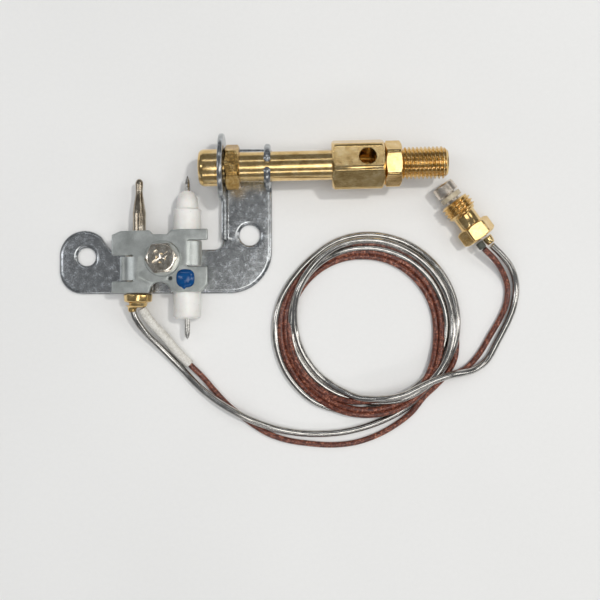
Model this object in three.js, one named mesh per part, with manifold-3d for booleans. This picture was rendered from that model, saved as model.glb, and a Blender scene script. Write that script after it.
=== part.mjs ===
// Gas pilot assembly: a flame-sensing thermocouple and a spark electrode clamped on a
// pressed bracket beside an air-mixing pilot burner, with the twin thermocouple lead
// coiled up beside it. Millimetres, +Z up. The bracket lies flat on z = 0, and the
// origin is under the middle of the pilot, leaving the leads out.
import * as THREE from 'three';
import { mergeVertices } from 'three/addons/utils/BufferGeometryUtils.js';
import Module from 'manifold-3d';

const wasm = await Module();
wasm.setup();

// ---- driving dimensions -------------------------------------------------------------
const PILOT_CENTRE = new THREE.Vector2(-12.665, 15.72);
const ROUND_SIDES = 24;
const THREAD_SIDES = 20;
const FIT_GAP = 0.1;

// pressed bracket
const SHEET = 1.3;
const ARM_LOW = 1.6;
const ARM_HIGH = 13.1;
const UPRIGHT_LEFT = -20.1;
const UPRIGHT_RIGHT = -7.25;
const UPRIGHT_TOP = 39;
const OUTER_CORNER_RADIUS = 11;
const INNER_CORNER_RADIUS = 2;
const EAR_CENTRE = new THREE.Vector2(-55.6, 11.4);
const EAR_RADIUS = 6.5;
const EAR_HOLE = { x: -55.1, y: 11.1, radius: 2.3 };
const CORNER_HOLE = { x: -13, y: 16.7, radius: 2.6 };
const COLLAR_RADIUS = 2.9;
const COLLAR_HEIGHT = 0.9;

// clamped parts
const CLAMP_AXIS_Z = 4.85;
const THERMO_X = -40.8;
const ELECTRODE_X = -28.6;
const CLAMP_INSIDE_Z = 8.4;
const CLAMP_SHEET = 1.2;
const SADDLE_RADIUS = 3.6;
const SCREW = { x: -34.2, y: 10.3, radius: 1.95, acrossFlats: 7, headHeight: 2.5, spin: 5 };
const TAPPED_RADIUS = 2.15;
const WASHER = { radius: 4.5, bore: 2.2, thickness: 0.8 };

// pilot burner, along X but for a small tilt about Z
const BURNER_Y = 33.5;
const BURNER_Z = 8.8;
const BURNER_TILT = THREE.MathUtils.degToRad(1.35);
const TUBE_RADIUS = 3.7;
const TUBE_BORE = 2.8;
const HEX_FLATS = 10.2;
const MIXER_FLATS = 11.4;
const WORN_CORNER = 0.955;
const THREAD_RADIUS = 4;
const THREAD_ROOT = 3.4;
const THREAD_PITCH = 1;
const LUG_RADIUS = 8.4;
const LUG_SHEET = 1.25;
const FLANGE = { low: 15.5, high: 28, height: 3.2 };
const FORK_X = -8.65;
const FORK_SHEET = 1.4;
const FORK_RADIUS = 5.6;
const HEAD_RADIUS = 4.6;
const MIXER_TURN = 17;
const LOCK_NUT_TURN = 25;
const UNION_TURN = 34;
const AIR_HOLE = { x: 16.6, radius: 2.1 };

// lead and gland connector
const BARE_RADIUS = 0.875;
const INSULATED_RADIUS = 0.75;
const SLEEVE = { radius: 1.18, bore: 0.98 };
const CORD_SIDES = 8;
const CORD_STEP = 4.2;
const COIL = { x: 17, y: -7, inner: 17.4, outer: 24.2, height: 2.5, bevel: 0.7 };
const FITTING_TIP = new THREE.Vector3(36.05, 29.26, 4.55);
const FITTING_ANGLE = -53.5;
const LEAD_SPREAD = 1.1;

// hand-laid routes of the leads, x, y, z of the centre line
const BARE_TAIL = [
  [-42.6, -2.0, 4.85], [-42.0, -4.4, 4.45], [-39.6, -8.2, 3.1], [-35.2, -12.9, 1.7],
  [-30.2, -18.1, 1.1], [-25.3, -23.0, 1.5], [-19.3, -27.2, 2.65], [-13.1, -30.5, 2.65],
  [-6.7, -33.0, 1.5], [0, -34.3, 0.92], [6, -34.5, 0.92], [12, -33.9, 0.92], [18, -32.35, 0.92],
];
const INSULATED_TAIL = [
  [-40.1, -2.2, 4.85], [-38.4, -5.0, 4.3], [-34.5, -9.5, 2.9], [-31.5, -13.4, 1.8],
  [-28.4, -16.6, 1.2], [-25.1, -19.9, 0.8], [-21.9, -23.6, 0.8], [-18.6, -27.1, 0.8],
  [-13.2, -31.4, 0.8], [-8.4, -34.4, 0.8], [-3.6, -36.1, 0.8], [2, -37.0, 0.8],
  [8.5, -37.4, 0.8], [15, -36.6, 0.8], [21.9, -33.9, 0.8], [28.5, -29.3, 0.8],
];
const BARE_END = [
  [21.9, -25.0, 5.05], [26.6, -24.0, 5.1], [30.0, -22.4, 5.1], [33.3, -20.8, 5.1],
  [35.6, -19.9, 5.05], [38.3, -19.1, 4.95], [41.4, -18.6, 4.1], [44.4, -18.0, 2.6],
  [48.1, -15.6, 1.2], [51.2, -10.3, 0.94], [53.8, -5.2, 0.92], [55.3, -0.9, 0.92],
  [55.7, 4.0, 1.1], [54.2, 8.2, 2.3], [51.4, 11.5, 3.8], [48.77, 13.91, 4.55],
];
const INSULATED_END = [
  [21.9, -25.2, 3.35], [26.6, -24.1, 3.38], [30.0, -22.5, 3.38], [33.3, -20.9, 3.38],
  [35.6, -20.0, 3.3], [38.3, -19.2, 3.2], [41.0, -18.4, 2.1], [43.4, -17.1, 1.0],
  [46.2, -14.0, 0.8], [49.2, -9.0, 0.8], [51.9, -4.3, 0.8], [53.3, -0.6, 0.8],
  [53.5, 3.7, 0.9], [52.1, 7.2, 1.9], [49.6, 10.4, 3.6], [46.85, 12.99, 4.55],
];
const SLEEVE_POINTS = 5;

// ---- materials ----------------------------------------------------------------------
function finish(color, roughness, metalness) {
  return new THREE.MeshStandardMaterial({ color, roughness, metalness });
}

const ZINC = finish(0xa1abaa, 0.42, 0.9);
const CLAMP_ZINC = finish(0x8f9c96, 0.45, 0.9);
const SCREW_STEEL = finish(0xc2b896, 0.3, 1);
const NICKEL = finish(0x9c9886, 0.38, 1);
const CONSTANTAN = finish(0xa68a6a, 0.4, 1);
const CERAMIC = finish(0xe2dfdd, 0.35, 0);
const BRASS = finish(0xb2a26f, 0.3, 1);
const TINNED = finish(0xc7c6be, 0.25, 1);
const GLASS_FIBRE = finish(0xe6e3da, 0.8, 0);
const BROWN_LACQUER = finish(0x5f3f33, 0.4, 0);
const COIL_MIX = finish(0x8a776c, 0.4, 0.4);
const RUBBER = finish(0x4a4d46, 0.7, 0);
const PHENOLIC = finish(0xb9ab8d, 0.6, 0);
const BLUE_PAINT = finish(0x074883, 0.15, 0);

// ---- shape helpers ------------------------------------------------------------------
const AXIS_X = (geometry) => geometry.rotateZ(-Math.PI / 2);
const AXIS_Z = (geometry) => geometry.rotateX(Math.PI / 2);

function piece(name, geometry, material) {
  const mesh = new THREE.Mesh(geometry, material);
  mesh.name = name;
  return mesh;
}

function toSolid(geometry) {
  const bare = geometry.clone();
  bare.deleteAttribute('normal');
  bare.deleteAttribute('uv');
  const merged = mergeVertices(bare, 1e-4);
  const vertProperties = new Float32Array(merged.attributes.position.array);
  const triVerts = new Uint32Array(merged.index.array);
  return new wasm.Manifold(new wasm.Mesh({ numProp: 3, vertProperties, triVerts }));
}

function toGeometry(solid) {
  const mesh = solid.getMesh();
  const geometry = new THREE.BufferGeometry();
  geometry.setAttribute('position', new THREE.BufferAttribute(mesh.vertProperties, 3));
  geometry.setIndex(new THREE.BufferAttribute(mesh.triVerts, 1));
  geometry.computeVertexNormals();
  return geometry;
}

// solid of revolution about Y from [position along the axis, radius] pairs
function turned(profile, sides = ROUND_SIDES) {
  const points = profile.map(([along, radius]) => new THREE.Vector2(radius, along));
  return new THREE.LatheGeometry(points, sides);
}

// tube or ring about Y with one outside and one bore
function sleeve(start, end, radius, bore, sides = ROUND_SIDES) {
  const loop = [[start, bore], [start, radius], [end, radius], [end, bore], [start, bore]];
  return turned(loop, sides);
}

function rod(start, end, radius, sides = ROUND_SIDES) {
  return turned([[start, 0], [start, radius], [end, radius], [end, 0]], sides);
}

// hexagonal bar about Y, its corners taken off at both ends, one corner towards +Z; worn
// is how far out the corners reach, as a part of sharp ones
function hexBar(start, end, acrossFlats, chamfer, worn = 1) {
  const corner = acrossFlats / Math.sqrt(3);
  const edge = acrossFlats / 2 - 0.15;
  const reach = worn < 1 ? corner * worn : corner + 0.05;
  const bar = new THREE.CylinderGeometry(corner, corner, end - start, 6);
  bar.translate(0, (start + end) / 2, 0);
  const turnedEnds = turned([
    [start - 0.01, 0], [start - 0.01, edge], [start + chamfer, reach],
    [end - chamfer, reach], [end + 0.01, edge], [end + 0.01, 0],
  ], worn < 1 ? 2 * ROUND_SIDES : ROUND_SIDES);
  return toSolid(bar).intersect(toSolid(turnedEnds));
}

function box(low, high) {
  const size = high.map((value, axis) => value - low[axis]);
  const geometry = new THREE.BoxGeometry(...size);
  geometry.translate(...low.map((value, axis) => value + size[axis] / 2));
  return toSolid(geometry);
}

// flat sheet from an outline in XY, between two heights
function sheet(outline, low, thickness, curveSegments = 6) {
  const geometry = new THREE.ExtrudeGeometry(outline, {
    depth: thickness, bevelEnabled: false, curveSegments,
  });
  return geometry.translate(0, 0, low);
}

function addHole(outline, { x, y, radius }) {
  const hole = new THREE.Path();
  hole.absarc(x, y, radius, 0, 2 * Math.PI, true);
  outline.holes.push(hole);
}

// thread as even ridges, [position, radius] pairs from start to end
function ridges(start, count) {
  const points = [];
  for (let ridge = 0; ridge < count; ridge += 1) {
    const foot = start + ridge * THREAD_PITCH;
    points.push([foot, THREAD_ROOT], [foot + THREAD_PITCH / 2, THREAD_RADIUS]);
  }
  points.push([start + count * THREAD_PITCH, THREAD_ROOT]);
  return points;
}

function route(points) {
  return new THREE.CatmullRomCurve3(points.map((point) => new THREE.Vector3(...point)));
}

function circle(radius) {
  return new THREE.Shape().absarc(0, 0, radius, 0, 2 * Math.PI, false);
}

function tubeAlong(points, radius, bore = 0) {
  const path = route(points);
  const section = circle(radius);
  if (bore > 0) {
    addHole(section, { x: 0, y: 0, radius: bore });
  }
  const steps = Math.round(path.getLength() / CORD_STEP);
  return new THREE.ExtrudeGeometry(section, {
    steps, extrudePath: path, bevelEnabled: false, curveSegments: CORD_SIDES / 2,
  });
}

// ---- bracket and clamp --------------------------------------------------------------
function bracketOutline() {
  const outline = new THREE.Shape();
  const left = EAR_CENTRE.x - EAR_RADIUS;
  const footY = ARM_LOW + 5;
  const cornerX = UPRIGHT_RIGHT - OUTER_CORNER_RADIUS;
  outline.moveTo(left + 5, ARM_LOW);
  outline.lineTo(cornerX, ARM_LOW);
  outline.absarc(cornerX, ARM_LOW + OUTER_CORNER_RADIUS, OUTER_CORNER_RADIUS, -Math.PI / 2, 0);
  outline.lineTo(UPRIGHT_RIGHT, UPRIGHT_TOP);
  outline.lineTo(UPRIGHT_LEFT, UPRIGHT_TOP);
  const innerX = UPRIGHT_LEFT - INNER_CORNER_RADIUS;
  const innerY = ARM_HIGH + INNER_CORNER_RADIUS;
  outline.absarc(innerX, innerY, INNER_CORNER_RADIUS, 0, -Math.PI / 2, true);
  outline.lineTo(-47.4, ARM_HIGH - 0.7);
  outline.quadraticCurveTo(-49.2, 12.6, -51.42, 16.38);
  outline.absarc(EAR_CENTRE.x, EAR_CENTRE.y, EAR_RADIUS, THREE.MathUtils.degToRad(50), Math.PI);
  outline.lineTo(left, footY);
  outline.absarc(left + 5, footY, 5, Math.PI, 1.5 * Math.PI);
  addHole(outline, EAR_HOLE);
  addHole(outline, CORNER_HOLE);
  addHole(outline, { x: SCREW.x, y: SCREW.y, radius: TAPPED_RADIUS });
  return outline;
}

// upright disc or arm of bent-up sheet, drawn in Y and Z and set at one X
function uprightSheet(outline, x, thickness) {
  const geometry = new THREE.ExtrudeGeometry(outline, {
    depth: thickness, bevelEnabled: false, curveSegments: 11,
  });
  geometry.rotateX(Math.PI / 2);
  geometry.rotateZ(Math.PI / 2);
  return toSolid(geometry.translate(x, 0, 0));
}

function burnerAxisY(x) {
  return BURNER_Y + x * Math.tan(BURNER_TILT);
}

function burnerLug() {
  const disc = circle(LUG_RADIUS);
  addHole(disc, { x: 0, y: 0, radius: TUBE_RADIUS + FIT_GAP });
  const web = new THREE.Shape();
  web.moveTo(-7.2, -BURNER_Z);
  web.lineTo(5.5, -BURNER_Z);
  web.lineTo(6.6, -4.9);
  web.lineTo(-6.6, -4.9);
  web.closePath();
  const foot = uprightSheet(web, UPRIGHT_LEFT, LUG_SHEET);
  return uprightSheet(disc, UPRIGHT_LEFT, LUG_SHEET).add(foot).translate(
    [0, burnerAxisY(UPRIGHT_LEFT + LUG_SHEET / 2), BURNER_Z],
  );
}

// low flange along the left edge of the upright, running up into the lug
function uprightFlange() {
  const side = new THREE.Shape();
  side.moveTo(FLANGE.low, 0);
  side.lineTo(FLANGE.high, 0);
  side.lineTo(FLANGE.high, FLANGE.height + 1.5);
  side.lineTo(FLANGE.high - 3, FLANGE.height);
  side.lineTo(FLANGE.low + 1, FLANGE.height);
  side.lineTo(FLANGE.low, FLANGE.height - 1);
  side.closePath();
  return uprightSheet(side, UPRIGHT_LEFT, LUG_SHEET);
}

// cradle under the tube, its two arms curling over and almost meeting on top
function burnerFork() {
  const fork = new THREE.Shape();
  const inside = TUBE_RADIUS + FIT_GAP;
  const reach = THREE.MathUtils.degToRad(79);
  fork.absarc(0, 0, FORK_RADIUS, reach, Math.PI - reach, true);
  fork.absarc(0, 0, inside, Math.PI - reach + 0.2, reach - 0.2, false);
  fork.closePath();
  const web = new THREE.Shape();
  web.moveTo(-5.8, -BURNER_Z);
  web.lineTo(5.4, -BURNER_Z);
  web.lineTo(4.6, -4);
  web.lineTo(-4.6, -4);
  web.closePath();
  const foot = uprightSheet(web, FORK_X, FORK_SHEET);
  return uprightSheet(fork, FORK_X, FORK_SHEET).add(foot).translate(
    [0, burnerAxisY(FORK_X + FORK_SHEET / 2), BURNER_Z],
  );
}

function mountingBracket() {
  const base = toSolid(sheet(bracketOutline(), 0, SHEET));
  const collar = sleeve(SHEET - 0.3, SHEET + COLLAR_HEIGHT, COLLAR_RADIUS, TAPPED_RADIUS, 20);
  AXIS_Z(collar).translate(SCREW.x, SCREW.y, 0);
  const bore = AXIS_Z(rod(-1, 5, TAPPED_RADIUS, 20)).translate(SCREW.x, SCREW.y, 0);
  const joined = base.add(toSolid(collar)).subtract(toSolid(bore));
  return toGeometry(joined.add(burnerLug()).add(uprightFlange()).add(burnerFork()));
}

function clampOutline() {
  const outline = new THREE.Shape();
  outline.moveTo(-46.9, 16.2);
  outline.lineTo(-46.9, 11.1);
  outline.lineTo(-41.6, 11.1);
  outline.lineTo(-41.6, 4.6);
  outline.lineTo(-46.9, 4.6);
  outline.lineTo(-46.9, 1.75);
  outline.lineTo(-37.6, 1.75);
  outline.quadraticCurveTo(-36.4, 4.6, -34.8, 4.5);
  outline.quadraticCurveTo(-33.2, 4.4, -32.3, 2.1);
  outline.lineTo(-24.8, 2.1);
  outline.lineTo(-23.1, 3.9);
  outline.lineTo(-23.1, 8.4);
  outline.lineTo(-28, 8.4);
  outline.lineTo(-28, 15);
  outline.lineTo(-23, 15);
  outline.lineTo(-23, 17.8);
  outline.lineTo(-32, 17.6);
  outline.lineTo(-33.2, 16.4);
  outline.lineTo(-36.6, 16.4);
  outline.lineTo(-37.6, 17.4);
  outline.lineTo(-44.7, 17.2);
  addHole(outline, { x: SCREW.x, y: SCREW.y, radius: TAPPED_RADIUS + 0.15 });
  return outline;
}

// tab rolled down round a clamped part, towards side -1 or +1, between two values of Y
function saddleTab(axisX, side, sweep, low, high) {
  const outer = SADDLE_RADIUS + CLAMP_SHEET;
  const end = Math.PI / 2 - side * THREE.MathUtils.degToRad(sweep);
  const tab = new THREE.Shape();
  tab.moveTo(axisX - side * 0.6, CLAMP_AXIS_Z + outer);
  tab.absarc(axisX, CLAMP_AXIS_Z, outer, Math.PI / 2, end, side > 0);
  tab.absarc(axisX, CLAMP_AXIS_Z, SADDLE_RADIUS, end, Math.PI / 2, side < 0);
  tab.lineTo(axisX - side * 0.6, CLAMP_AXIS_Z + SADDLE_RADIUS);
  const geometry = new THREE.ExtrudeGeometry(tab, {
    depth: high - low, bevelEnabled: false, curveSegments: 6,
  });
  return toSolid(geometry.rotateX(Math.PI / 2).translate(0, high, 0));
}

function clampPlate() {
  const plate = toSolid(sheet(clampOutline(), CLAMP_INSIDE_Z, CLAMP_SHEET));
  const thermoTab = saddleTab(THERMO_X, -1, 84, 4.9, 10.8);
  const electrodeTab = saddleTab(ELECTRODE_X, 1, 58, 8.7, 14.7);
  return toGeometry(plate.add(thermoTab).add(electrodeTab));
}

function clampScrew() {
  const seat = CLAMP_INSIDE_Z + CLAMP_SHEET + WASHER.thickness;
  const top = seat + SCREW.headHeight;
  const head = hexBar(seat, top, SCREW.acrossFlats, 0.5);
  const shank = toSolid(rod(0.3, seat + 0.5, SCREW.radius, 20));
  const slotLong = 2.1;
  const slotWide = 0.5;
  const depth = top - 1.5;
  const slots = [[slotLong, slotWide], [slotWide, slotLong]].map(
    ([x, z]) => box([-x, depth, -z], [x, top + 1, z]),
  );
  const screw = toGeometry(head.add(shank).subtract(slots[0]).subtract(slots[1]));
  screw.rotateY(THREE.MathUtils.degToRad(30 + SCREW.spin));
  return AXIS_Z(screw).translate(SCREW.x, SCREW.y, 0);
}

function clampWasher() {
  const low = CLAMP_INSIDE_Z + CLAMP_SHEET;
  const ring = sleeve(low, low + WASHER.thickness, WASHER.radius, WASHER.bore, 24);
  return AXIS_Z(ring).translate(SCREW.x, SCREW.y, 0);
}

function identificationDot() {
  const dome = turned([[0, 0], [0, 2.4], [0.35, 2.25], [0.7, 1.6], [0.85, 0.8], [0.9, 0]], 20);
  const low = CLAMP_INSIDE_Z + CLAMP_SHEET;
  return AXIS_Z(dome).translate(-28.5, 5.4, low);
}

// ---- thermocouple and electrode, along Y --------------------------------------------
function onClampAxis(geometry, x) {
  return geometry.translate(x, 0, CLAMP_AXIS_Z);
}

function thermocoupleSheath() {
  return onClampAxis(turned([
    [28.6, 0], [28.6, 0.55], [22, 0.95], [1.6, 0.95], [1.6, 1.65], [22.4, 1.65], [26.2, 1.0],
    [27.6, 0.92], [29.3, 0.98], [30.2, 0.8], [30.6, 0.45], [30.75, 0],
  ], 20), THERMO_X);
}

function spark() {
  return turned([
    [-10, 0], [-9.5, 0.4], [-8.4, 0.7], [30, 0.7], [31.2, 0.3], [31.6, 0],
  ], 16);
}

function electrodeInsulator() {
  return turned([
    [-4.7, 0.85], [-4.7, 2.9], [-4.1, 3.5], [22.8, 3.5], [23.1, 3.1], [23.3, 2.85],
    [25, 2.7], [26.4, 2.3], [27.2, 1.8], [27.6, 1.3], [27.6, 0.85], [-4.7, 0.85],
  ]);
}

function thermocoupleFerrule() {
  return turned([
    [-1.4, 0], [-1.4, 2.9], [-1.0, 3.3], [0.2, 3.4], [0.4, 3.5], [1.5, 3.5], [1.5, 0],
  ]);
}

// ---- pilot burner, along X ----------------------------------------------------------
function onBurnerAxis(geometry) {
  return AXIS_X(geometry).rotateZ(BURNER_TILT).translate(0, BURNER_Y, BURNER_Z);
}

function burnerHead() {
  const front = -25.2;
  const back = -20.25;
  const tubeSeat = TUBE_RADIUS + FIT_GAP;
  return turned([
    [front, 3], [front, HEAD_RADIUS - 0.9], [front + 0.3, HEAD_RADIUS - 0.3],
    [front + 0.9, HEAD_RADIUS], [back, HEAD_RADIUS], [back, tubeSeat],
    [back - 2.1, tubeSeat], [back - 2.1, 3], [front, 3],
  ]);
}

function lockNut() {
  const nut = hexBar(-18.6, -15, HEX_FLATS, 0.5, WORN_CORNER);
  const bore = toSolid(rod(-20, -14, TUBE_RADIUS + FIT_GAP));
  const geometry = toGeometry(nut.subtract(bore));
  return onBurnerAxis(geometry.rotateY(THREE.MathUtils.degToRad(LOCK_NUT_TURN)));
}

function airMixer() {
  const body = hexBar(7.9, 20.9, MIXER_FLATS, 0.7, WORN_CORNER);
  const tubeSocket = toSolid(rod(7, 12.2, TUBE_RADIUS + FIT_GAP));
  const chamber = toSolid(rod(12, 22, 2.5));
  const hole = toSolid(AXIS_Z(rod(0, 8, AIR_HOLE.radius, 20)));
  const faceTurn = THREE.MathUtils.degToRad(-30);
  const holeAt = new THREE.Matrix4().makeRotationY(faceTurn);
  holeAt.premultiply(new THREE.Matrix4().makeTranslation(0, AIR_HOLE.x, 0));
  const drilled = body.subtract(tubeSocket).subtract(chamber).subtract(
    hole.transform(holeAt.elements),
  );
  const geometry = toGeometry(drilled);
  return onBurnerAxis(geometry.rotateY(THREE.MathUtils.degToRad(MIXER_TURN)));
}

function gasInletUnion() {
  const hex = hexBar(21, 25.2, HEX_FLATS, 0.5, WORN_CORNER);
  const outside = [[24.8, 0], [24.8, 3.2], [25.5, 3.2], ...ridges(25.5, 11), [36.7, 3.3], [36.7, 0]];
  const bore = toSolid(rod(20, 38, 2.5));
  const union = hex.add(toSolid(turned(outside, THREAD_SIDES))).subtract(bore);
  return onBurnerAxis(toGeometry(union).rotateY(THREE.MathUtils.degToRad(UNION_TURN)));
}

function gasInjector() {
  const profile = [
    [18.8, 0.3], [18.8, 0.9], [20.2, 2.3], [25.8, 2.3], [25.8, 1.2], [20.4, 1.2], [19.6, 0.3],
    [18.8, 0.3],
  ];
  return onBurnerAxis(turned(profile, 20));
}

// ---- gland connector, along its own X from the contact tip --------------------------
function glandNut() {
  const bore = 2.2;
  const shank = [[5.2, 0], ...ridges(5.2, 4), [9.2, 2.9], [12.9, 2.9], [12.9, 0]];
  const hex = hexBar(12.6, 16.7, 8, 0.55);
  const drill = toSolid(rod(4, 18, bore));
  const nut = hex.add(toSolid(turned(shank, THREAD_SIDES))).subtract(drill);
  return AXIS_X(toGeometry(nut).rotateY(THREE.MathUtils.degToRad(12)));
}

function terminalCup() {
  return AXIS_X(turned([
    [0, 2.0], [0, 2.6], [0.3, 2.85], [2.9, 2.85], [2.9, 1.75], [17.1, 1.75], [17.1, 0],
    [1.6, 0], [1.6, 2.0], [0, 2.0],
  ], 24));
}

function connector() {
  const fitting = new THREE.Group();
  fitting.position.copy(FITTING_TIP);
  fitting.rotation.z = THREE.MathUtils.degToRad(FITTING_ANGLE);
  const insulator = AXIS_X(sleeve(3.2, 4.5, 2.75, 2.1, 24));
  const contact = AXIS_X(rod(0.2, 1.4, 1.6, 20));
  const ferrule = AXIS_X(turned([
    [17.4, 0], [17.4, 1.2], [18.6, 1.2], [19.4, 0.95], [19.4, 0],
  ], 16)).translate(0, LEAD_SPREAD + 0.2, 0);
  const grommet = AXIS_X(rod(17.4, 19.2, 1.0, 16)).translate(0, -LEAD_SPREAD, 0);
  fitting.add(
    piece('gland_nut', glandNut(), BRASS),
    piece('terminal_cup', terminalCup(), TINNED),
    piece('terminal_insulator', insulator, PHENOLIC),
    piece('terminal_contact', contact, TINNED),
    piece('lead_end_ferrule', ferrule, BRASS),
    piece('lead_end_grommet', grommet, RUBBER),
  );
  return fitting;
}

// ---- lead ---------------------------------------------------------------------------
function leadCoil() {
  const { inner, outer, height, bevel } = COIL;
  const ring = turned([
    [0, inner + bevel], [0, outer - bevel], [bevel, outer], [height - bevel, outer],
    [height, outer - bevel], [height, inner + bevel], [height - bevel, inner], [bevel, inner],
    [0, inner + bevel],
  ], 40);
  return AXIS_Z(ring).translate(COIL.x, COIL.y, 0);
}

function lead() {
  const sleeveRoute = INSULATED_TAIL.slice(0, SLEEVE_POINTS);
  return [
    piece('insulation_sleeve', tubeAlong(sleeveRoute, SLEEVE.radius, SLEEVE.bore), GLASS_FIBRE),
    piece('lead_bare_tail', tubeAlong(BARE_TAIL, BARE_RADIUS), TINNED),
    piece('lead_insulated_tail', tubeAlong(INSULATED_TAIL, INSULATED_RADIUS), BROWN_LACQUER),
    piece('lead_coil', leadCoil(), COIL_MIX),
    piece('lead_bare_end', tubeAlong(BARE_END, BARE_RADIUS), TINNED),
    piece('lead_insulated_end', tubeAlong(INSULATED_END, INSULATED_RADIUS), BROWN_LACQUER),
  ];
}

// ---- assembly -----------------------------------------------------------------------
const pilot = new THREE.Group();
pilot.position.set(-PILOT_CENTRE.x, -PILOT_CENTRE.y, 0);
pilot.add(
  piece('mounting_bracket', mountingBracket(), ZINC),
  piece('clamp_plate', clampPlate(), CLAMP_ZINC),
  piece('identification_dot', identificationDot(), BLUE_PAINT),
  piece('clamp_screw', clampScrew(), SCREW_STEEL),
  piece('clamp_washer', clampWasher(), ZINC),
  piece('thermocouple_sheath', thermocoupleSheath(), NICKEL),
  piece('thermocouple_core_wire', onClampAxis(rod(1.6, 28.3, 0.4, 12), THERMO_X), CONSTANTAN),
  piece('thermocouple_insulation', onClampAxis(sleeve(1.6, 21.6, 0.85, 0.5, 12), THERMO_X), GLASS_FIBRE),
  piece('thermocouple_barrel', onClampAxis(sleeve(1.6, 16.2, 3.45, 1.8), THERMO_X), NICKEL),
  piece('thermocouple_ferrule', onClampAxis(thermocoupleFerrule(), THERMO_X - 0.3), BRASS),
  piece('electrode_insulator', onClampAxis(electrodeInsulator(), ELECTRODE_X), CERAMIC),
  piece('electrode_rod', onClampAxis(spark(), ELECTRODE_X), NICKEL),
  piece('burner_head', onBurnerAxis(burnerHead()), BRASS),
  piece('flame_port_insert', onBurnerAxis(sleeve(-24.6, -23.6, 2.9, 1.1, 20)), BRASS),
  piece('burner_tube', onBurnerAxis(sleeve(-22.1, 12, TUBE_RADIUS, TUBE_BORE)), BRASS),
  piece('burner_lock_nut', lockNut(), BRASS),
  piece('air_mixer_body', airMixer(), BRASS),
  piece('gas_inlet_union', gasInletUnion(), BRASS),
  piece('gas_injector', gasInjector(), BRASS),
  connector(),
  ...lead(),
);

const assembly = new THREE.Group();
assembly.add(pilot);

export default assembly;
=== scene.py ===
# Looks of a gas pilot assembly: a thermocouple and a spark electrode clamped on a pressed
# bracket beside a brass pilot burner, with the twin thermocouple lead coiled beside it.
import math

import bmesh
import bpy
import numpy as np
from mathutils import Matrix, Vector
from mathutils.geometry import delaunay_2d_cdt


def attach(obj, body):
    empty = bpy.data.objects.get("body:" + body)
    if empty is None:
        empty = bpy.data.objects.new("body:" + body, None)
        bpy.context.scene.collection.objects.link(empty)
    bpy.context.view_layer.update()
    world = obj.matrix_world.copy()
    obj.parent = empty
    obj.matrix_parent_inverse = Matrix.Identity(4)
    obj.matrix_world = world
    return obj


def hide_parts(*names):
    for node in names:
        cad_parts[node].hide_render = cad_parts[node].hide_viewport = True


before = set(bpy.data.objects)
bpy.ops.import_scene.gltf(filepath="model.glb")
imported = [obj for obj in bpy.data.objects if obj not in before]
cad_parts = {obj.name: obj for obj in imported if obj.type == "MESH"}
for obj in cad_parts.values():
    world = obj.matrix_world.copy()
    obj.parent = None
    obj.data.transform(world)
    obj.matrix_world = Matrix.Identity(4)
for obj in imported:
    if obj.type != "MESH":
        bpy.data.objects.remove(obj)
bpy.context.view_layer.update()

MM = 0.001
TURN = 2 * math.pi
# The plan below is in millimetres. This point of it is the frame's origin.
PILOT_CENTRE = Vector((-12.665, 15.72, 0))

# bracket and clamp
SHEET = 1.3
CLAMP_AXIS_Z = 4.85
THERMO_X = -40.8
ELECTRODE_X = -28.6
CLAMP_LOW = 8.4
CLAMP_TOP = 9.6
SADDLE_RADIUS = 3.6
SCREW_AT = (-34.2, 10.3)
TAPPED_RADIUS = 2.15
EAR_HOLE = (-55.1, 11.1, 2.3)
CORNER_HOLE = (-13, 16.7, 2.6)
DOT_AT = (-28.5, 5.4)

# burner, along X but for a small tilt
BURNER_Y = 33.5
BURNER_Z = 8.8
BURNER_TILT = 1.35
TUBE_RADIUS = 3.7
TUBE_BORE = 2.8
TUBE_HOLE = 3.8
LUG_X = -19.48
LUG_AXIS_X = -19.5  # where the lug takes the burner's axis
LUG_RADIUS = 8.4
LUG_HALF = 0.62
FORK_X = -8.1
FOOT_X = -7.98
FOOT_AXIS_X = -8.0  # where the foot takes it
FOOT_HALF = 0.7
HEX_FLATS = 10.2
MIXER_FLATS = 11.4

# connector
FITTING_TIP = (36.05, 29.26, 4.55)
FITTING_ANGLE = -53.5
LEAD_SPREAD = 1.1

# leads
BARE_RADIUS = 0.875
INSULATED_RADIUS = 0.75
SLEEVE_RADIUS = 1.18
SLEEVE_BORE = 0.9
COIL_CENTRE = (17, -7)


# camera, in metres and millimetres of lens
CAMERA_HEIGHT = 0.237
CAMERA_LENS = 54.86


# ---- placing and building meshes ----------------------------------------------------
def to_frame(x, y, z, axis=None):
    """From a piece's own millimetres, at x, y, z of the plan, to the row frame's metres."""
    shift = Matrix.Translation(Vector((x, y, z)) - PILOT_CENTRE)
    return Matrix.Diagonal((MM, MM, MM, 1)) @ shift @ (axis or Matrix.Identity(4))


def about_z(degrees):
    return Matrix.Rotation(math.radians(degrees), 4, "Z")


ALONG_Y = about_z(90)
ALONG_Z = Matrix.Rotation(-math.pi / 2, 4, "Y")
ON_BURNER = to_frame(0, BURNER_Y, BURNER_Z, about_z(BURNER_TILT))
ON_THERMO = to_frame(THERMO_X, 0, CLAMP_AXIS_Z, ALONG_Y)
ON_ELECTRODE = to_frame(ELECTRODE_X, 0, CLAMP_AXIS_Z, ALONG_Y)
ON_SCREW = to_frame(*SCREW_AT, 0, ALONG_Z)
IN_PLAN = to_frame(0, 0, 0)
ON_FITTING = to_frame(*FITTING_TIP, about_z(FITTING_ANGLE))


def smooth(mesh, crease=32):
    mesh.shade_smooth()
    mesh.set_sharp_from_angle(angle=math.radians(crease))


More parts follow.
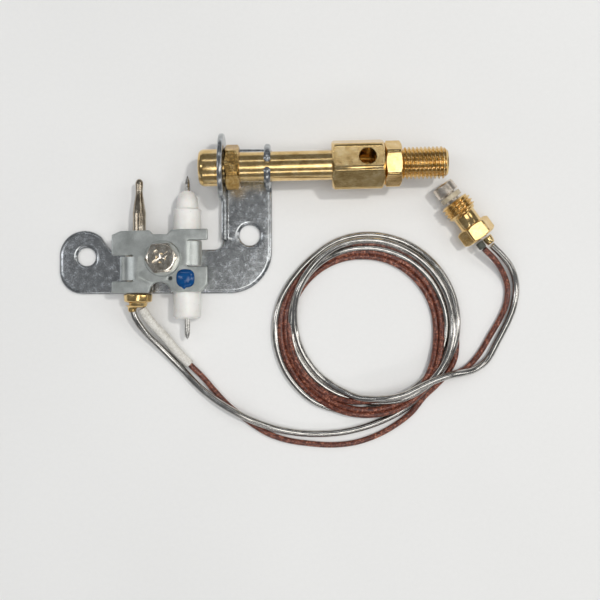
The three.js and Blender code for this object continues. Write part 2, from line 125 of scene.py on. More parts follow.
def add_object(name, verts, faces, matrix, crease=32, corners=None):
    """A piece from its vertices and faces, with the UV of each face corner where given."""
    mesh = bpy.data.meshes.new(name)
    mesh.from_pydata([tuple(v) for v in verts], [], faces)
    if corners:
        layer = mesh.uv_layers.new(name="UVMap")
        layer.data.foreach_set("uv", [c for corner in corners for c in corner])
    mesh.transform(matrix)
    tidy = bmesh.new()
    tidy.from_mesh(mesh)
    bmesh.ops.remove_doubles(tidy, verts=tidy.verts, dist=1e-7)
    bmesh.ops.recalc_face_normals(tidy, faces=tidy.faces)
    tidy.to_mesh(mesh)
    tidy.free()
    smooth(mesh, crease)
    piece = bpy.data.objects.new(name, mesh)
    bpy.context.collection.objects.link(piece)
    return piece


def dress(piece, material, body, slot, *nodes):
    """Gives a piece its material and body, and hides the CAD nodes that it stands for; the slot is
    not used.
    """
    piece.data.materials.clear()
    piece.data.materials.append(material)
    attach(piece, body)
    if nodes:
        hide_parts(*nodes)
    return piece


def bake(piece):
    graph = bpy.context.evaluated_depsgraph_get()
    mesh = bpy.data.meshes.new_from_object(piece.evaluated_get(graph))
    piece.modifiers.clear()
    piece.data = mesh


def combine(piece, other, operation, crease=32):
    """Joins or cuts a piece with another, which is used up."""
    modifier = piece.modifiers.new("combine", "BOOLEAN")
    modifier.operation = operation
    modifier.solver = "MANIFOLD"
    modifier.object = other
    bake(piece)
    bpy.data.objects.remove(other)
    smooth(piece.data, crease)


def even_shading(piece):
    """Keeps flat faces flat where they meet a rounded edge."""
    modifier = piece.modifiers.new("even shading", "WEIGHTED_NORMAL")
    modifier.keep_sharp = True


def rounded(points, radius, closed=False, steps=4):
    """A line of 2-D points with its corners rounded."""
    points = [Vector(p) for p in points]
    count = len(points)
    line = []
    for i, corner in enumerate(points):
        if not closed and i in (0, count - 1):
            line.append(corner)
            continue
        back = points[i - 1] - corner
        ahead = points[(i + 1) % count] - corner
        if back.length < 1e-6 or ahead.length < 1e-6:
            line.append(corner)
            continue
        half = back.angle(ahead) / 2
        if half > math.radians(88):
            line.append(corner)
            continue
        cut = min(radius / math.tan(half), 0.48 * back.length, 0.48 * ahead.length)
        start = corner + back.normalized() * cut
        end = corner + ahead.normalized() * cut
        for step in range(steps + 1):
            t = step / steps
            line.append(start * (1 - t) ** 2 + corner * 2 * t * (1 - t) + end * t**2)
    return [tuple(p) for p in line]


def revolve(name, profile, matrix, sides=96, turn=0.0, closed=False, crease=32):
    """A body about its own X from (along, radius) pairs. A radius may be a function of the
    angle. The profile starts and ends on the axis, or closes on itself."""
    relative = TURN * np.arange(sides) / sides
    angles = relative + math.radians(turn)
    verts, rings = [], []
    for along, radius in profile:
        radii = radius(relative) if callable(radius) else np.full(sides, float(radius))
        if radii.max() < 1e-6:
            rings.append([len(verts)])
            verts.append((along, 0, 0))
            continue
        rings.append(list(range(len(verts), len(verts) + sides)))
        verts += [
            (along, r * math.cos(a), r * math.sin(a)) for r, a in zip(radii, angles)
        ]
    faces = []
    pairs = list(zip(rings, rings[1:] + rings[:1])) if closed else list(zip(rings, rings[1:]))
    for low, high in pairs:
        if len(low) == 1 and len(high) == 1:
            continue
        for i in range(sides):
            j = (i + 1) % sides
            if len(low) == 1:
                faces.append((low[0], high[i], high[j]))
            elif len(high) == 1:
                faces.append((low[j], low[i], high[0]))
            else:
                faces.append((low[i], low[j], high[j], high[i]))
    return add_object(name, verts, faces, matrix, crease)


def soft_min(a, b, width):
    share = np.clip(0.5 + 0.5 * (b - a) / width, 0, 1)
    return b * (1 - share) + a * share - width * share * (1 - share)


def hex_stations(start, end, flats, chamfer, worn=1.1, edge=0.2):
    """Stations of a hexagonal bar with one corner at the turn angle, its corners rounded to
    a radius and its ends chamfered."""
    centre = (flats / 2 - worn) / math.cos(math.radians(30))
    corner = centre + worn
    face = flats / 2 - edge
    tangent = math.atan2(worn / 2, centre + worn * math.cos(math.radians(30)))

    def outline(limit):
        def radius(relative):
            off = np.abs((relative + TURN / 12) % (TURN / 6) - TURN / 12)
            flat = flats / 2 / np.cos(TURN / 12 - off)
            arc_part = np.sqrt(np.maximum(worn**2 - (centre * np.sin(off)) ** 2, 0))
            bar = np.where(off < tangent, centre * np.cos(off) + arc_part, flat)
            return soft_min(bar, limit, 0.05)
        return radius

    stations = []
    for share in np.linspace(0, 1, 9):
        limit = face + share * (corner + 0.06 - face)
        stations.append((start + share * chamfer, outline(limit)))
    stations += [(start + end - along, radius) for along, radius in stations[::-1]]
    return [(start, face - 0.12), *stations, (end, face - 0.12)]


def thread_stations(start, end, crest, root, pitch, per_turn=12):
    """Stations of a right-hand screw thread that runs out into chamfers at both ends."""
    stations = []
    count = round((end - start) / pitch * per_turn)
    for step in range(count + 1):
        along = start + (end - start) * step / count
        chamfer = root - 0.15 + 0.9 * (end - along)
        run_out = root - 0.1 + 1.2 * (along - start)
        limit = min(chamfer, run_out, crest)

        def radius(relative, along=along, limit=limit):
            phase = (along / pitch - relative / TURN) % 1
            tooth = np.clip(1.5 * (1 - np.abs(2 * phase - 1)) - 0.25, 0, 1)
            return np.minimum(root + (crest - root) * tooth, max(limit, root - 0.15))
        stations.append((along, radius))
    return stations


def edge_loops(loop, edge, steps=5):
    """Offsets of a closed outline towards its inside, stepping round an edge's width and
    drop."""
    width, depth = edge
    points = np.array(loop)
    ahead = np.roll(points, -1, axis=0) - points
    behind = points - np.roll(points, 1, axis=0)
    ahead /= np.linalg.norm(ahead, axis=1)[:, None]
    behind /= np.linalg.norm(behind, axis=1)[:, None]
    tangent = ahead + behind
    tangent /= np.linalg.norm(tangent, axis=1)[:, None]
    normal = np.stack([-tangent[:, 1], tangent[:, 0]], axis=1)
    lean = np.clip(np.sum(ahead * tangent, axis=1), 0.5, 1)
    offsets = [width * (1 - math.cos(math.pi / 2 * i / steps)) for i in range(steps + 1)]
    drops = [depth * (1 - math.sin(math.pi / 2 * i / steps)) for i in range(steps + 1)]
    return [
        (points + normal * (off / lean)[:, None], drop) for off, drop in zip(offsets, drops)
    ]


def area(loop):
    x, y = np.array(loop).T
    return 0.5 * np.sum(x * np.roll(y, -1) - np.roll(x, -1) * y)


def plate(name, loops, low, high, top_edge, low_edge, matrix, crease=40):
    """Sheet metal between two heights from an outline and its holes, with rounded edges."""
    verts, faces, caps = [], [], {"top": [], "low": []}
    for i, loop in enumerate(loops):
        wanted = 1 if i == 0 else -1
        if area(loop) * wanted < 0:
            loop = loop[::-1]
        rings = [(xy, low + drop) for xy, drop in edge_loops(loop, low_edge)[::-1]]
        rings += [(xy, high - drop) for xy, drop in edge_loops(loop, top_edge)]
        ids = []
        for xy, z in rings:
            ids.append(list(range(len(verts), len(verts) + len(loop))))
            verts += [(x, y, z) for x, y in xy]
        for below, above in zip(ids, ids[1:]):
            for j in range(len(loop)):
                k = (j + 1) % len(loop)
                faces.append((below[j], below[k], above[k], above[j]))
        caps["low"].append(ids[0])
        caps["top"].append(ids[-1])
    for rings in caps.values():
        faces += fill(verts, rings)
    return add_object(name, verts, faces, matrix, crease)


def fill(verts, rings):
    """Triangles of the flat face between closed rings of vertices."""
    order = [i for ring in rings for i in ring]
    flat = [Vector(verts[i][:2]) for i in order]
    edges, start = [], 0
    for ring in rings:
        size = len(ring)
        edges += [(start + j, start + (j + 1) % size) for j in range(size)]
        start += size
    made, _, triangles, origin, _, _ = delaunay_2d_cdt(flat, edges, [], 1, 1e-6)
    index = [order[origin[i][0]] if origin[i] else None for i in range(len(made))]
    kept = []
    for triangle in triangles:
        middle = sum((made[i] for i in triangle), Vector((0, 0))) / len(triangle)
        crossings = 0
        for a, b in edges:
            (ax, ay), (bx, by) = flat[a], flat[b]
            if (ay > middle.y) != (by > middle.y):
                crossings += middle.x < ax + (middle.y - ay) * (bx - ax) / (by - ay)
        if crossings % 2 and all(index[i] is not None for i in triangle):
            kept.append(tuple(index[i] for i in triangle))
    return kept


def arc(x, y, radius, start, end, steps):
    """Points of an arc, angles in degrees."""
    turns = [math.radians(start + (end - start) * i / steps) for i in range(steps + 1)]
    return [(x + radius * math.cos(turn), y + radius * math.sin(turn)) for turn in turns]


def ring_points(x, y, radius, steps=48):
    return arc(x, y, radius, 0, 360, steps)[:-1]


def spaced(line, step):
    """The same closed line with points at most one step apart."""
    points = [Vector(p) for p in line]
    out = []
    for a, b in zip(points, points[1:] + points[:1]):
        count = max(1, math.ceil((b - a).length / step))
        out += [tuple(a.lerp(b, i / count)) for i in range(count)]
    return out


# ---- materials ----------------------------------------------------------------------
def node(tree, kind, **values):
    made = tree.nodes.new(kind)
    for key, value in values.items():
        if key in made.inputs:
            made.inputs[key].default_value = value
        else:
            setattr(made, key, value)
    return made


def noise(tree, coords, scale, detail=4, rough=0.6, stretch=(1, 1, 1)):
    mapped = node(tree, "ShaderNodeMapping")
    mapped.inputs["Scale"].default_value = stretch
    tree.links.new(coords, mapped.inputs["Vector"])
    made = node(tree, "ShaderNodeTexNoise", Scale=scale, Detail=detail, Roughness=rough)
    tree.links.new(mapped.outputs[0], made.inputs["Vector"])
    return made.outputs["Fac"]


def ramp(tree, source, stops):
    made = node(tree, "ShaderNodeValToRGB")
    while len(made.color_ramp.elements) < len(stops):
        made.color_ramp.elements.new(0.5)
    for element, (place, colour) in zip(made.color_ramp.elements, stops):
        element.position = place
        element.color = (*colour, 1)
    tree.links.new(source, made.inputs[0])
    return made.outputs[0]


def remap(tree, source, low, high):
    """Spreads the middle of a noise's range over low to high."""
    made = node(tree, "ShaderNodeMapRange")
    made.inputs["From Min"].default_value = 0.3
    made.inputs["From Max"].default_value = 0.7
    made.inputs["To Min"].default_value = low
    made.inputs["To Max"].default_value = high
    tree.links.new(source, made.inputs[0])
    return made.outputs[0]


def math_node(tree, operation, a, b):
    made = node(tree, "ShaderNodeMath", operation=operation)
    for i, value in enumerate((a, b)):
        if isinstance(value, (int, float)):
            made.inputs[i].default_value = value
        else:
            tree.links.new(value, made.inputs[i])
    return made.outputs[0]


def weighted(tree, *parts):
    """Sum of sources, each with its weight."""
    total = None
    for source, weight in parts:
        part = math_node(tree, "MULTIPLY", source, weight)
        total = part if total is None else math_node(tree, "ADD", total, part)
    return total


def new_material(name, metallic, **values):
    material = bpy.data.materials.new(name)
    material.use_nodes = True
    tree = material.node_tree
    shader = tree.nodes["Principled BSDF"]
    shader.inputs["Metallic"].default_value = metallic
    for key, value in values.items():
        shader.inputs[key.replace("_", " ")].default_value = value
    coords = node(tree, "ShaderNodeTexCoord").outputs["Object"]
    return material, tree, shader, coords


def bump(tree, shader, height, strength, distance):
    made = node(tree, "ShaderNodeBump", Strength=strength, Distance=distance)
    tree.links.new(height, made.inputs["Height"])
    tree.links.new(made.outputs[0], shader.inputs["Normal"])
    return made


def scuffed_metal(
    name, dark, mid, light, rough, patch=350, grain=(1, 1, 1), depth=0.00002, strength=0.5
):
    """Metal with cloudy patches, fine directional grain, and roughness that follows them."""
    material, tree, shader, coords = new_material(name, 1.0)
    clouds = noise(tree, coords, patch, 5, 0.65)
    fine = noise(tree, coords, 2600, 3, 0.6, grain)
    scratches = noise(tree, coords, 1500, 2, 0.5, (grain[1] * 0.15, grain[0] * 6, 1))
    mixed = weighted(tree, (clouds, 0.7), (fine, 0.3))
    colour = ramp(tree, mixed, [(0.32, dark), (0.5, mid), (0.68, light)])
    tree.links.new(colour, shader.inputs["Base Color"])
    worn = weighted(tree, (clouds, 0.6), (scratches, 0.4))
    tree.links.new(remap(tree, worn, *rough), shader.inputs["Roughness"])
    height = weighted(tree, (clouds, 1.0), (scratches, 0.35))
    bump(tree, shader, height, strength, depth)
    return material


def ceramic_material():
    material, tree, shader, coords = new_material(
        "glazed_ceramic", 0.0, Coat_Weight=0.35, Coat_Roughness=0.12, Subsurface_Weight=0.12,
        Subsurface_Scale=0.001,
    )
    clouds = noise(tree, coords, 220, 4, 0.6)
    specks = noise(tree, coords, 1900, 2, 0.5)
    tint = ramp(tree, clouds, [(0.3, (0.75, 0.735, 0.70)), (0.55, (0.84, 0.83, 0.80)),
                               (0.75, (0.88, 0.87, 0.84))])
    spots = ramp(tree, specks, [(0.22, (0.55, 0.5, 0.45)), (0.3, (1, 1, 1))])
    mix = node(tree, "ShaderNodeMix", data_type="RGBA", blend_type="MULTIPLY")
    mix.inputs["Factor"].default_value = 0.6
    tree.links.new(tint, mix.inputs[6])
    tree.links.new(spots, mix.inputs[7])
    tree.links.new(mix.outputs[2], shader.inputs["Base Color"])
    tree.links.new(remap(tree, clouds, 0.28, 0.5), shader.inputs["Roughness"])
    bump(tree, shader, specks, 0.25, 0.00002)
    return material


def braid_height(tree, around, along):
    """Crossing strands on a tube whose UV is length in millimetres and part of a turn."""
    uv = node(tree, "ShaderNodeTexCoord").outputs["UV"]
    split = node(tree, "ShaderNodeSeparateXYZ")
    tree.links.new(uv, split.inputs[0])
    slip = noise(tree, uv, 0.35, 2, 0.5, (1, 3, 1))
    uneven = weighted(tree, (split.outputs[0], 1.0), (slip, 2.2))
    length = math_node(tree, "MULTIPLY", uneven, TURN * along)
    angle = math_node(tree, "MULTIPLY", split.outputs[1], TURN * around)
    one = math_node(tree, "SINE", math_node(tree, "ADD", length, angle), 0)
    two = math_node(tree, "SINE", math_node(tree, "SUBTRACT", length, angle), 0)
    return math_node(tree, "MULTIPLY", one, two)


def braided_material(name, low, mid, high, rough, around, along, coat):
    """Lacquered glass-fibre braid: woven relief, with painted shade in the grooves between strands.
    """
    material, tree, shader, coords = new_material(
        name, 0.0, Coat_Weight=coat, Coat_Roughness=0.16,
    )
    weave = braid_height(tree, around, along)
    clouds = noise(tree, coords, 1100, 3, 0.6)
    # Fine flecks in the braid's tone; on the brown lead the brightest take the high colour as
    # painted glints.
    flecks_and_glints = noise(tree, coords, 2600, 2, 0.5)
    # The weave's share of the colour is painted shade: a little darker in the grooves between
    # strands.
    mixed = weighted(tree, (weave, 0.05), (clouds, 0.5), (flecks_and_glints, 0.5))
    colour = ramp(tree, mixed, [(0.34, low), (0.52, mid), (0.7, high)])
    tree.links.new(colour, shader.inputs["Base Color"])
    tree.links.new(remap(tree, clouds, *rough), shader.inputs["Roughness"])
    height = weighted(tree, (weave, 1.0), (flecks_and_glints, 0.8))
    bump(tree, shader, height, 0.3, 0.00004)
    return material


def wire_material():
    """Tinned wire: bright, with soft lines along it, light and dark in its colour, that are painted
    reflections.
    """
    material, tree, shader, coords = new_material("tinned_wire", 1.0)
    uv = node(tree, "ShaderNodeTexCoord").outputs["UV"]
    streaks_and_reflections = noise(tree, uv, 1.0, 4, 0.6, (0.35, 9, 1))
    clouds = noise(tree, coords, 500, 4, 0.6)
    mixed = weighted(tree, (streaks_and_reflections, 0.6), (clouds, 0.4))
    # Its colour runs light and dark along the wire as painted reflections.
    colour = ramp(tree, mixed, [(0.3, (0.3, 0.285, 0.26)), (0.5, (0.52, 0.505, 0.48)),
                                (0.7, (0.76, 0.75, 0.72))])
    tree.links.new(colour, shader.inputs["Base Color"])
    tree.links.new(remap(tree, mixed, 0.12, 0.26), shader.inputs["Roughness"])
    bump(tree, shader, streaks_and_reflections, 0.35, 0.00003)
    return material


def painted_material(name, dark, light, rough, coat, relief=0.3):
    material, tree, shader, coords = new_material(name, 0.0, Coat_Weight=coat,
                                                  Coat_Roughness=0.05)
    clouds = noise(tree, coords, 900, 3, 0.6)
    tree.links.new(ramp(tree, clouds, [(0.3, dark), (0.7, light)]), shader.inputs["Base Color"])
    tree.links.new(remap(tree, clouds, *rough), shader.inputs["Roughness"])
    bump(tree, shader, clouds, relief, 0.00003)
    return material


ZINC = scuffed_metal(
    "bracket_zinc", (0.34, 0.355, 0.365), (0.46, 0.475, 0.485), (0.72, 0.76, 0.8),
    (0.17, 0.31), patch=620, depth=0.00004, strength=0.45,
)
CLAMP_ZINC = scuffed_metal(
    "clamp_zinc", (0.46, 0.485, 0.465), (0.6, 0.63, 0.61), (0.78, 0.81, 0.79),
    (0.28, 0.42), patch=260, grain=(1, 5, 1), depth=0.000015, strength=0.25,
)
SCREW_STEEL = scuffed_metal(
    "screw_steel", (0.46, 0.4, 0.31), (0.78, 0.71, 0.6), (0.95, 0.92, 0.84),
    (0.1, 0.22), patch=900, depth=0.00004, strength=0.5,
)
NICKEL = scuffed_metal(
    "nickel_alloy", (0.2, 0.16, 0.115), (0.42, 0.36, 0.28), (0.74, 0.69, 0.6),
    (0.14, 0.3), patch=450, grain=(6, 1, 6), depth=0.00002,
)
ROD_STEEL = scuffed_metal(
    "electrode_steel", (0.4, 0.39, 0.36), (0.6, 0.59, 0.56), (0.76, 0.75, 0.72),
    (0.2, 0.36), patch=700, depth=0.00002,
)
BRASS = scuffed_metal(
    "brass", (0.56, 0.35, 0.12), (0.82, 0.58, 0.26), (0.92, 0.73, 0.42),
    (0.13, 0.27), patch=420, grain=(0.6, 6, 6), depth=0.000012, strength=0.4,
)
TINNED = scuffed_metal(
    "tinned_copper", (0.5, 0.42, 0.33), (0.74, 0.66, 0.57), (0.9, 0.85, 0.78),
    (0.25, 0.45), patch=900, depth=0.00003,
)
CERAMIC = ceramic_material()
WIRE = wire_material()
# The brown lead's high orange colour is painted glints on the braid.
BROWN = braided_material(
    "brown_lacquer", (0.02, 0.004, 0.003), (0.12, 0.026, 0.013), (0.62, 0.25, 0.15),
    (0.3, 0.5), around=6, along=1.7, coat=0.6,
)
WHITE_BRAID = braided_material(
    "glass_fibre", (0.5, 0.48, 0.43), (0.7, 0.68, 0.63), (0.83, 0.82, 0.78),
    (0.65, 0.85), around=14, along=2.4, coat=0.0,
)
WORN_BRASS = scuffed_metal(
    "worn_brass", (0.3, 0.16, 0.045), (0.6, 0.38, 0.13), (0.88, 0.68, 0.34),
    (0.16, 0.32), patch=600, depth=0.00016, strength=0.7,
)
BLUE = painted_material(
    "blue_paint", (0.0004, 0.042, 0.16), (0.0008, 0.07, 0.235), (0.12, 0.18), 0.0, relief=0.02,
)
RUBBER = painted_material("rubber", (0.05, 0.055, 0.048), (0.12, 0.125, 0.105), (0.5, 0.7), 0.0)
PHENOLIC = painted_material("phenolic", (0.4, 0.33, 0.22), (0.6, 0.53, 0.4), (0.4, 0.6), 0.1)


# ---- camera, floor and lights -------------------------------------------------------
def look_from(obj, place, target):
    obj.location = place
    obj.rotation_euler = (Vector(target) - Vector(place)).to_track_quat("-Z", "Y").to_euler()


def build_camera():
    lens = bpy.data.cameras.new("camera")
    lens.lens = CAMERA_LENS
    lens.clip_start = 0.01
    camera = bpy.data.objects.new("camera", lens)
    camera.location = -PILOT_CENTRE * MM + Vector((0, 0, CAMERA_HEIGHT))
    bpy.context.collection.objects.link(camera)
    bpy.context.scene.camera = camera


def build_floor():
    material, tree, shader, coords = new_material("paper", 0.0)
    fibres = noise(tree, coords, 900, 5, 0.7)
    clouds = noise(tree, coords, 12, 2, 0.5)
    mixed = weighted(tree, (fibres, 0.35), (clouds, 0.65))
    colour = ramp(tree, mixed, [(0.3, (0.79, 0.79, 0.785)), (0.7, (0.84, 0.84, 0.835))])
    tree.links.new(colour, shader.inputs["Base Color"])
    shader.inputs["Roughness"].default_value = 0.6
    bump(tree, shader, fibres, 0.15, 0.00004)
    side = 2.0
    corners = [(x * side, y * side, -0.00005) for x, y in ((-1, -1), (1, -1), (1, 1), (-1, 1))]
    floor = add_object("floor", corners, [(0, 1, 2, 3)], Matrix.Identity(4))
    floor.data.materials.append(material)


# Panels of light: place from the middle in metres, size, watts, colour, and whether metal
# mirrors the panel. One that is not mirrored lights surfaces without showing in them.
PANELS = {
    "overhead": ((0.14, -0.12, 1.0), (0.5, 0.3), 1.35, (1, 0.985, 0.95), True),
    "strip": ((0, 0.68, 0.8), (0.9, 0.08), 0.5, (0.97, 0.98, 1), True),
    "front": ((0.1, -0.75, 0.62), (0.9, 0.1), 0.8, (1, 0.98, 0.96), True),
    "left": ((-0.7, 0.1, 0.75), (0.1, 0.7), 0.8, (0.97, 0.98, 1), True),
    "right": ((0.75, 0.0, 0.6), (0.08, 0.7), 0.9, (1, 0.98, 0.95), True),
    "side": ((0.62, 0.36, 0.8), (0.25, 0.25), 0.55, (1, 0.98, 0.93), True),
    "key": ((0.32, 0.16, 0.93), (0.06, 0.06), 3.0, (1, 0.975, 0.93), False),
    "fill": ((-0.1, 0, 1.0), (0.9, 0.9), 2.7, (0.97, 0.985, 1), False),
}


def area_light(name, place, target, size, power, colour, mirrored):
    light = bpy.data.lights.new(name, "AREA")
    light.shape = "RECTANGLE"
    light.size, light.size_y = size
    light.energy = power
    light.color = colour
    lamp = bpy.data.objects.new(name, light)
    lamp.visible_glossy = mirrored
    look_from(lamp, place, target)
    bpy.context.collection.objects.link(lamp)


def build_lights():
    scene = bpy.context.scene
    scene.view_settings.view_transform = "Standard"
    world = bpy.data.worlds.new("studio")
    world.use_nodes = True
    background = world.node_tree.nodes["Background"]
    background.inputs["Color"].default_value = (0.93, 0.96, 1, 1)
    background.inputs["Strength"].default_value = 0.17
    scene.world = world
    middle = -PILOT_CENTRE * MM
    for name, (place, size, power, colour, mirrored) in PANELS.items():
        area_light(name, middle + Vector(place), middle, size, power, colour, mirrored)


build_camera()
build_floor()
build_lights()


# ---- leads --------------------------------------------------------------------------
BARE_TAIL = [
    (-42.6, -2.0, 4.85), (-42.0, -4.4, 4.45), (-39.6, -8.2, 3.1), (-35.2, -12.9, 1.7),
    (-30.2, -18.1, 1.1), (-25.3, -23.0, 1.5), (-19.3, -27.2, 2.65), (-13.1, -30.5, 2.65),
    (-6.7, -33.0, 1.5), (0, -34.3, 0.92), (6, -34.5, 0.92), (12, -33.9, 0.92),
    (18, -32.35, 0.92),
]
INSULATED_TAIL = [
    (-40.1, -2.2, 4.85), (-38.4, -5.0, 4.3), (-34.5, -9.5, 2.9), (-31.5, -13.4, 1.8),
    (-28.4, -16.6, 1.2), (-25.1, -19.9, 0.8), (-21.9, -23.6, 0.8), (-18.6, -27.1, 0.8),
    (-13.2, -31.4, 0.8), (-8.4, -34.4, 0.8), (-3.6, -36.1, 0.8), (2, -37.0, 0.8),
    (8.5, -37.4, 0.8), (15, -36.6, 0.8), (21.9, -33.9, 0.8), (28.5, -29.3, 0.8),
]
BARE_END = [
    (21.9, -25.0, 5.05), (26.6, -24.0, 5.1), (30.0, -22.4, 5.1), (33.3, -20.8, 5.1),
    (35.6, -19.9, 5.05), (38.3, -19.1, 4.95), (41.4, -18.6, 4.1), (44.4, -18.0, 2.6),
    (48.1, -15.6, 1.2), (51.2, -10.3, 0.94), (53.8, -5.2, 0.92), (55.3, -0.9, 0.92),
    (55.7, 4.0, 1.1), (54.2, 8.2, 2.3), (51.4, 11.5, 3.8), (48.77, 13.91, 4.55),
]
INSULATED_END = [
    (21.9, -25.2, 3.35), (26.6, -24.1, 3.38), (30.0, -22.5, 3.38), (33.3, -20.9, 3.38),
    (35.6, -20.0, 3.3), (38.3, -19.2, 3.2), (41.0, -18.4, 2.1), (43.4, -17.1, 1.0),
    (46.2, -14.0, 0.8), (49.2, -9.0, 0.8), (51.9, -4.3, 0.8), (53.3, -0.6, 0.8),
    (53.5, 3.7, 0.9), (52.1, 7.2, 1.9), (49.6, 10.4, 3.6), (46.85, 12.99, 4.55),
]
SLEEVE_POINTS = 5
# Where each wire lies as it winds: angle from +X in degrees, radius, height.
BARE_WINDING = [
    (-76, 24.2, 0.9), (-62, 23.1, 0.9), (-45, 22.2, 0.95), (-28, 22.5, 1.6), (-10, 23.1, 2.4),
    (10, 23.5, 2.4), (30, 23.8, 1.6), (60, 24.0, 0.92), (90, 23.9, 0.92), (110, 23.5, 0.92),
    (128, 22.6, 0.92), (145, 22.5, 0.92), (160, 23.0, 0.92), (180, 23.4, 0.9), (210, 23.6, 0.9),
    (235, 23.4, 0.9), (255, 22.4, 0.9), (275, 21.0, 0.9), (300, 20.1, 0.9), (330, 20.2, 0.92),
    (360, 20.8, 0.92), (390, 20.7, 0.95), (450, 20.5, 0.95), (470, 20.5, 1.2), (485, 20.4, 2.4),
    (500, 20.1, 3.0), (515, 19.7, 2.6), (530, 19.4, 1.8), (545, 19.2, 0.95), (570, 18.9, 0.92),
    (600, 18.7, 0.92), (620, 18.8, 0.92), (640, 19.5, 1.6), (655, 20.4, 3.0), (675, 21.2, 3.6),
    (690, 21.8, 3.4), (710, 22.2, 2.6), (735, 22.4, 2.1), (760, 22.4, 1.9), (810, 22.4, 1.9),
    (830, 22.0, 2.6), (845, 21.2, 3.5), (857, 20.5, 3.7), (872, 19.9, 3.2), (887, 19.0, 2.2),
    (900, 18.3, 1.3), (930, 17.4, 0.92), (958, 17.2, 0.95), (976, 17.6, 2.0), (989, 18.3, 3.8),
]
INSULATED_WINDING = [
    (-50, 23.5, 0.8), (-38, 23.6, 0.8), (-26, 24.5, 0.8), (-16, 24.3, 0.8), (-5, 23.3, 0.8),
    (12, 22.5, 0.8), (30, 21.9, 0.8), (60, 21.6, 0.8), (90, 21.7, 0.8), (130, 21.5, 0.8),
    (150, 21.6, 0.8), (180, 21.9, 0.8), (210, 22.1, 0.8), (240, 22.4, 1.2), (256, 22.6, 2.3),
    (290, 22.6, 2.4), (303, 22.2, 2.4), (315, 21.6, 2.5), (330, 20.6, 2.4), (345, 19.8, 2.0),
    (360, 19.4, 1.0), (375, 19.3, 0.8), (450, 19.4, 0.8), (480, 19.9, 0.8), (495, 20.4, 0.8),
    (515, 20.7, 0.8), (540, 20.7, 0.8), (570, 20.8, 0.8), (602, 21.0, 1.4), (616, 21.1, 2.3),
    (650, 21.2, 2.3), (668, 20.9, 2.3), (685, 19.8, 2.3), (700, 18.7, 1.6), (716, 18.1, 0.8),
    (765, 17.8, 0.8), (810, 18.1, 0.8), (840, 18.8, 0.8), (858, 19.2, 0.8), (880, 19.6, 1.0),
    (900, 19.8, 1.5), (930, 20.0, 1.6), (962, 19.8, 1.9), (985, 19.2, 2.8),
]


def winding(keys, first, step=10):
    """Points of the coil through the given keys, one every few degrees, gently uneven."""
    angles, radii, heights = np.array(keys).T
    fine = np.arange(angles[0] - 30, angles[-1] + 31)
    window = np.hanning(17)[1:-1]
    window /= window.sum()
    soft = [np.convolve(np.interp(fine, angles, v), window, "same") for v in (radii, heights)]
    points = []
    for angle in np.arange(angles[0], angles[-1] + 0.5 * step, step):
        radius, height = (np.interp(angle, fine, v) for v in soft)
        radius += 0.08 * math.sin(math.radians(angle * 2.3 + first))
        turn = math.radians(angle)
        points.append((COIL_CENTRE[0] + radius * math.cos(turn),
                       COIL_CENTRE[1] + radius * math.sin(turn), height))
    return points


def spline(points, spacing=0.7):
    """A centripetal Catmull-Rom curve through the points, sampled evenly."""
    given = [np.array(p, float) for p in points]
    given = [2 * given[0] - given[1], *given, 2 * given[-1] - given[-2]]
    line = []
    for p0, p1, p2, p3 in zip(given, given[1:], given[2:], given[3:]):
        t1 = np.linalg.norm(p1 - p0) ** 0.5
        t2 = t1 + np.linalg.norm(p2 - p1) ** 0.5
        t3 = t2 + np.linalg.norm(p3 - p2) ** 0.5
        count = max(2, int(np.linalg.norm(p2 - p1) / spacing * 3))
        for t in np.linspace(t1, t2, count, endpoint=False):
            a1 = p0 * (t1 - t) / t1 + p1 * t / t1
            a2 = p1 * (t2 - t) / (t2 - t1) + p2 * (t - t1) / (t2 - t1)
            a3 = p2 * (t3 - t) / (t3 - t2) + p3 * (t - t2) / (t3 - t2)
            b1 = a1 * (t2 - t) / t2 + a2 * t / t2
            b2 = a2 * (t3 - t) / (t3 - t1) + a3 * (t - t1) / (t3 - t1)
            line.append(b1 * (t2 - t) / (t2 - t1) + b2 * (t - t1) / (t2 - t1))
    line.append(given[-2])
    line = np.array(line)
    gaps = np.linalg.norm(np.diff(line, axis=0), axis=1)
    travelled = np.concatenate([[0], np.cumsum(gaps)])
    wanted = np.linspace(0, travelled[-1], int(travelled[-1] / spacing) + 1)
    return np.stack([np.interp(wanted, travelled, line[:, i]) for i in range(3)], axis=1)


def tube(name, line, radius, sides=16, bore=None):
    """A tube round a line, with rounded ends, and UVs of length in mm and part of a turn."""
    tangents = np.gradient(line, axis=0)
    tangents /= np.linalg.norm(tangents, axis=1)[:, None]
    side = np.cross(tangents[0], (0, 0, 1))
    side /= np.linalg.norm(side)
    gaps = np.linalg.norm(np.diff(line, axis=0), axis=1)
    travelled = np.concatenate([[0], np.cumsum(gaps)])
    walls = [radius] if bore is None else [radius, bore]
    verts, uvs, rings = [], [], {wall: [] for wall in walls}
    for middle, ahead, length in zip(line, tangents, travelled):
        side = side - ahead * np.dot(side, ahead)
        side /= np.linalg.norm(side)
        up = np.cross(ahead, side)
        for wall in walls:
            rings[wall].append(list(range(len(verts), len(verts) + sides)))
            for i in range(sides):
                turn = TURN * i / sides
                verts.append(middle + wall * (side * math.cos(turn) + up * math.sin(turn)))
                uvs.append((length, i / sides))
    faces, corners = [], []

    def strip(low, high):
        for i in range(sides):
            j = (i + 1) % sides
            faces.append((low[i], low[j], high[j], high[i]))
            u0, u1 = uvs[low[i]][0], uvs[high[i]][0]
            v0, v1 = i / sides, (i + 1) / sides
            corners.extend([(u0, v0), (u0, v1), (u1, v1), (u1, v0)])

    for wall in walls:
        for low, high in zip(rings[wall], rings[wall][1:]):
            strip(low, high)
    if bore is None:
        for ring in (rings[radius][0], rings[radius][-1]):
            faces.append(tuple(ring))
            corners.extend([uvs[i] for i in ring])
    else:
        for end in (0, -1):
            strip(rings[radius][end], rings[bore][end])
    return add_object(name, verts, faces, IN_PLAN, 50, corners)


